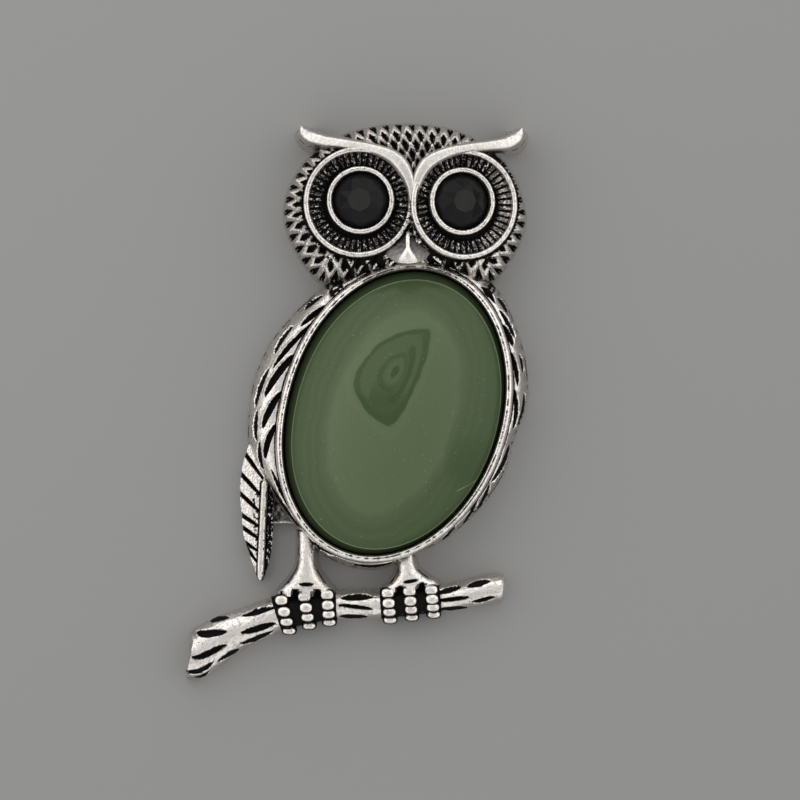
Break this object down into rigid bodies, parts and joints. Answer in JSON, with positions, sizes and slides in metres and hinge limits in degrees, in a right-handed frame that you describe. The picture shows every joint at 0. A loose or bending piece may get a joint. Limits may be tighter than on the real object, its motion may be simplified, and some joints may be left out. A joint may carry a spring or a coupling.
{
  "type": "owl brooch",
  "caption": "Owl brooch: a cast body with feathered head, ribbed eye discs, cut wings and feet on a branch, set with a large oval domed stone and faceted eyes.",
  "frame": {"origin": "middle of the outline, on the plane of the flat back rim that the brooch lies on", "axes": "+Z is the way the owl faces, away from the back; +Y runs from the branch up to the head; +X is to the viewer's right"},
  "size_m": [0.0357, 0.0576, 0.0079],
  "materials": {
    "silver": "polished antique silver plate, blackened in the recesses",
    "green_stone": "polished green banded stone",
    "black_glass": "opaque black faceted glass",
    "pin_steel": "plain bright steel wire and strip"
  },
  "bodies": {
    "root": {"owl_casting": "silver", "green_cabochon": "green_stone", "eye_stone_left": "black_glass", "eye_stone_right": "black_glass", "pin_back": "pin_steel"}
  },
  "joints": []
}
